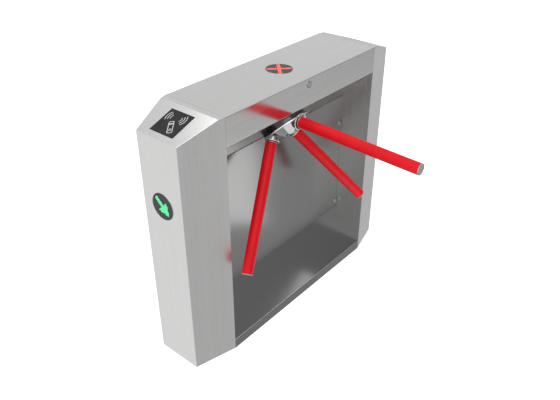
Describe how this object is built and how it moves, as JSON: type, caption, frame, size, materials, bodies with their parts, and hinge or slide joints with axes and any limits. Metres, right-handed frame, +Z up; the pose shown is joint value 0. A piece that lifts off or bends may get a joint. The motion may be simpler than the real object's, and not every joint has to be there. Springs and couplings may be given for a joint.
{
  "type": "visitor counter turnstile",
  "caption": "Tripod turnstile: long stainless cabinet with a recessed side, slanted reader ends, status discs and a chrome hub carrying three red arms.",
  "frame": {"origin": "on the floor, at the middle of the cabinet's footprint", "axes": "+Z up, +X out of the arm side into the passage, +Y along the lane from the near reader to the far reader"},
  "size_m": [0.7926, 1.202, 1.001],
  "materials": {
    "stainless": "fine vertical brushing, satin",
    "zinc_steel": "dull zinc plating",
    "bright_steel": "machined",
    "chrome_parts": "polished chrome plating",
    "hinge_steel": "satin",
    "cast_housing": "as cast, machined faces",
    "red_sleeve": "smooth satin-gloss tube",
    "cap_plastic": "satin",
    "black_trim": "fine moulded texture",
    "dark_glass": "polished smoked acrylic",
    "board_green": "lacquered board",
    "module_case": "moulded case",
    "supply_case": "folded sheet case",
    "grommet_rubber": "moulded rubber"
  },
  "bodies": {
    "cabinet": {"near_column": "stainless", "far_column": "stainless", "sill_panel": "stainless", "soffit_panel": "stainless", "recess_panel": "stainless", "rear_panel": "stainless", "base_plate": "zinc_steel", "cable_grommets": "grommet_rubber", "bulkheads": "zinc_steel", "mechanism_rails": "zinc_steel", "lid_catch": "zinc_steel", "panel_lock_barrels": "chrome_parts", "hinge_fixed_leaves": "hinge_steel", "hinge_pins": "bright_steel", "end_indicator_lenses": "dark_glass", "end_indicator_boards": "board_green", "reader_glasses": "dark_glass", "reader_modules": "black_trim", "hub_escutcheon": "black_trim", "mechanism_plate": "zinc_steel", "plate_screws": "bright_steel", "bearing_housing": "cast_housing", "shaft_bearings": "bright_steel", "mechanism_posts": "bright_steel", "back_plate": "zinc_steel", "counting_sensor": "black_trim", "rotary_damper": "cast_housing", "solenoids": "module_case", "control_board": "board_green", "power_supply": "supply_case", "visitor_counter": "module_case"},
    "rotor": {"hub": "chrome_parts", "hub_screws": "bright_steel", "arm_tubes": "bright_steel", "arm_sleeve_1": "red_sleeve", "arm_sleeve_2": "red_sleeve", "arm_sleeve_3": "red_sleeve", "arm_end_caps": "cap_plastic", "main_shaft": "bright_steel", "centring_cam": "bright_steel", "lock_wheel": "bright_steel", "counting_disc": "black_trim"},
    "lid": {"top_lid": "stainless", "lid_hinge_leaves": "hinge_steel", "top_indicator_lens": "dark_glass", "top_indicator_board": "board_green", "lid_lock_barrel": "chrome_parts"},
    "lid_lock": {"lid_lock_plug": "chrome_parts"},
    "door": {"service_door": "stainless", "door_hinge_leaves": "hinge_steel", "door_lock_barrel": "chrome_parts"},
    "door_lock": {"door_lock_plug": "chrome_parts"},
    "upper_panel_lock": {"upper_panel_lock_plug": "chrome_parts"},
    "lower_panel_lock": {"lower_panel_lock_plug": "chrome_parts"},
    "entry_pawl": {"entry_pawl": "bright_steel"},
    "exit_pawl": {"exit_pawl": "bright_steel"},
    "entry_plunger": {"entry_plunger": "bright_steel"},
    "exit_plunger": {"exit_plunger": "bright_steel"},
    "centring_lever": {"centring_lever": "bright_steel"},
    "centring_roller": {"centring_roller": "bright_steel"}
  },
  "joints": [
    {"name": "rotor_turn", "type": "hinge", "parent": "cabinet", "child": "rotor", "pos_m": [0.07, -0.06, 0.826], "axis": [0.7071, 0, -0.7071], "continuous": true},
    {"name": "lid_open", "type": "hinge", "parent": "cabinet", "child": "lid", "pos_m": [-0.1435, 0, 0.987], "axis": [0, -1, 0], "range_deg": [0, 75]},
    {"name": "lid_lock_turn", "type": "hinge", "parent": "lid", "child": "lid_lock", "pos_m": [0.14, 0, 0.976], "axis": [-1, 0, 0], "range_deg": [0, 90]},
    {"name": "door_open", "type": "hinge", "parent": "cabinet", "child": "door", "pos_m": [-0.1435, 0.331, 0.44], "axis": [0, 0, -1], "range_deg": [0, 110]},
    {"name": "door_lock_turn", "type": "hinge", "parent": "door", "child": "door_lock", "pos_m": [-0.14, -0.306, 0.44], "axis": [1, 0, 0], "range_deg": [0, 90]},
    {"name": "upper_panel_lock_turn", "type": "hinge", "parent": "cabinet", "child": "upper_panel_lock", "pos_m": [0, 0.414, 0.628], "axis": [1, 0, 0], "range_deg": [0, 90]},
    {"name": "lower_panel_lock_turn", "type": "hinge", "parent": "cabinet", "child": "lower_panel_lock", "pos_m": [0, 0.414, 0.222], "axis": [1, 0, 0], "range_deg": [0, 90]},
    {"name": "entry_pawl_turn", "type": "hinge", "parent": "cabinet", "child": "entry_pawl", "pos_m": [-0.02814, -0.13147, 0.87635], "axis": [0.7071, 0, -0.7071], "range_deg": [0, 9], "stiffness_Nm_per_rad": 0.5, "springref_deg": -5.73},
    {"name": "exit_pawl_turn", "type": "hinge", "parent": "cabinet", "child": "exit_pawl", "pos_m": [-0.02814, 0.01147, 0.87635], "axis": [-0.7071, 0, 0.7071], "range_deg": [0, 9], "stiffness_Nm_per_rad": 0.5, "springref_deg": -5.73},
    {"name": "entry_plunger_slide", "type": "slide", "parent": "cabinet", "child": "entry_plunger", "axis": [0.6124, 0.5, 0.6124], "range_m": [0, 0.0035]},
    {"name": "exit_plunger_slide", "type": "slide", "parent": "cabinet", "child": "exit_plunger", "axis": [0.6124, -0.5, 0.6124], "range_m": [0, 0.0035]},
    {"name": "centring_lever_lift", "type": "hinge", "parent": "cabinet", "child": "centring_lever", "pos_m": [0.04172, -0.1154, 0.91792], "axis": [-0.7071, 0, 0.7071], "range_deg": [0, 6], "stiffness_Nm_per_rad": 1, "springref_deg": -11.46},
    {"name": "centring_roller_turn", "type": "hinge", "parent": "centring_lever", "child": "centring_roller", "pos_m": [0.00495, -0.1154, 0.89105], "axis": [0.7071, 0, -0.7071], "continuous": true}
  ],
  "couplings": [
    {"joint": "entry_plunger_slide", "follows": "entry_pawl_turn", "m_per_rad": 0.02},
    {"joint": "exit_plunger_slide", "follows": "exit_pawl_turn", "m_per_rad": 0.02}
  ]
}
